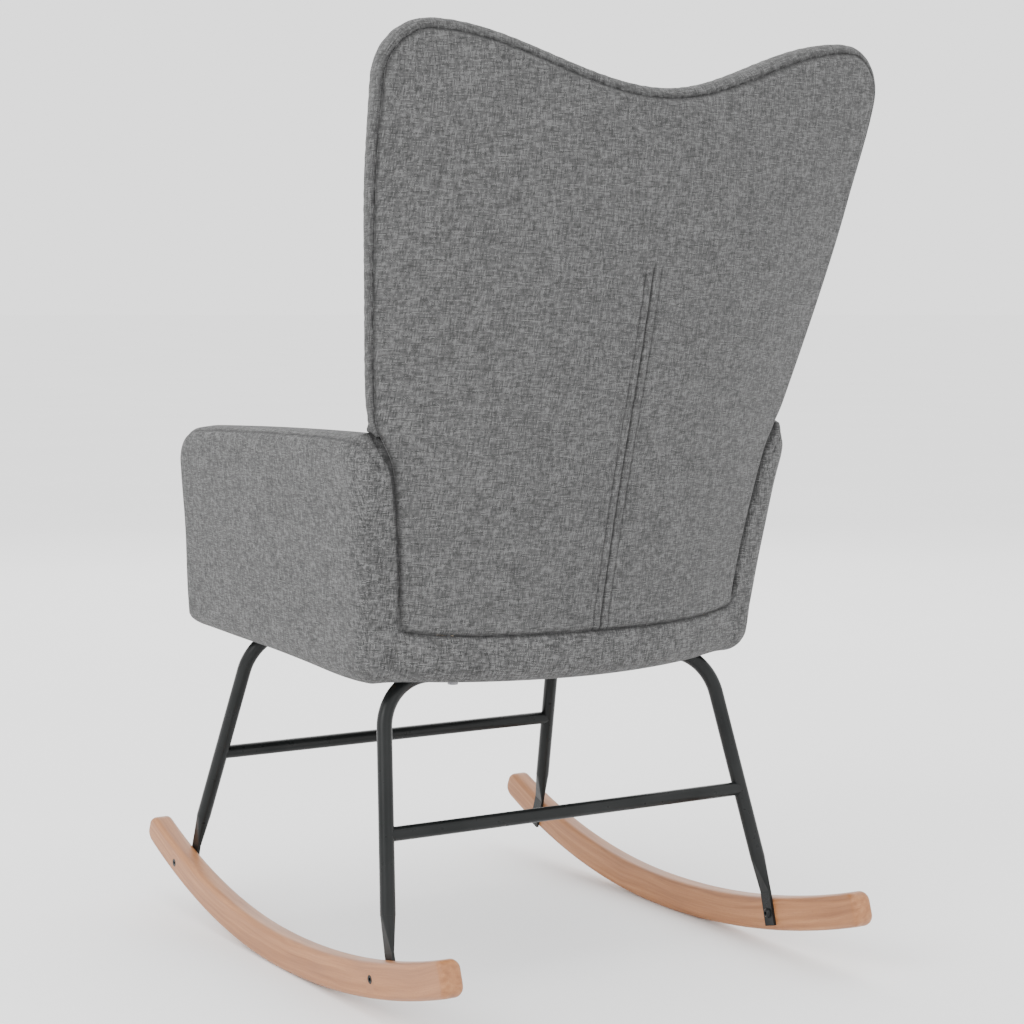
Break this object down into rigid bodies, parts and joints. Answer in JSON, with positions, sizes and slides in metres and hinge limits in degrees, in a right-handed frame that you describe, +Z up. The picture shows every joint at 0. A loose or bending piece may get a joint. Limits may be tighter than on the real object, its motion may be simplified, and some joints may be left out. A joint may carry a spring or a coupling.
{
  "type": "rocking chair",
  "caption": "Upholstered wing-back rocking chair: grey fabric seat, arms and tall curved back on bent black tube legs and curved wooden rockers.",
  "frame": {"origin": "on the floor, at the middle of the chair's outline in plan, where the rockers' lowest lines touch the floor plane", "axes": "+Z up, -Y towards the front of the seat, +X towards the sitter's left"},
  "size_m": [0.5928, 0.7138, 0.9781],
  "materials": {
    "rocker_wood": "clear matt lacquer over light beech, fine grain along the bar",
    "inner_wood": "raw softwood and plywood, unseen",
    "black_steel": "satin black powder coat",
    "zinc": "zinc plated",
    "fabric_grey": "woven melange linen look, mid grey",
    "webbing": "woven jute webbing",
    "dust_cloth": "black non-woven cloth"
  },
  "bodies": {
    "root": {"rocker_left": "rocker_wood", "rocker_right": "rocker_wood", "rocker_bolts": "black_steel", "rocker_sleeve_nuts": "black_steel", "rear_leg_tube": "black_steel", "rear_crossbar": "black_steel", "front_leg_tube": "black_steel", "front_crossbar": "black_steel", "leg_bolts": "zinc", "leg_bolt_washers": "zinc", "seat_t_nuts": "zinc", "seat_left_rail": "inner_wood", "seat_right_rail": "inner_wood", "seat_front_rail": "inner_wood", "seat_rear_rail": "inner_wood", "front_mounting_board": "inner_wood", "rear_mounting_board": "inner_wood", "seat_corner_blocks": "inner_wood", "seat_webbing_long": "webbing", "seat_webbing_cross": "webbing", "dust_cover": "dust_cloth", "back_left_post": "inner_wood", "back_right_post": "inner_wood", "back_bottom_rail": "inner_wood", "back_middle_rail": "inner_wood", "back_top_rail": "inner_wood", "back_webbing": "webbing", "left_arm_panel": "inner_wood", "right_arm_panel": "inner_wood", "left_arm_upholstery": "fabric_grey", "right_arm_upholstery": "fabric_grey", "seat_cushion": "fabric_grey", "front_apron": "fabric_grey", "back_cushion": "fabric_grey", "left_wing_pad": "fabric_grey", "right_wing_pad": "fabric_grey", "outer_back_panel": "fabric_grey", "back_edge_band": "fabric_grey", "rear_apron": "fabric_grey"}
  },
  "joints": []
}
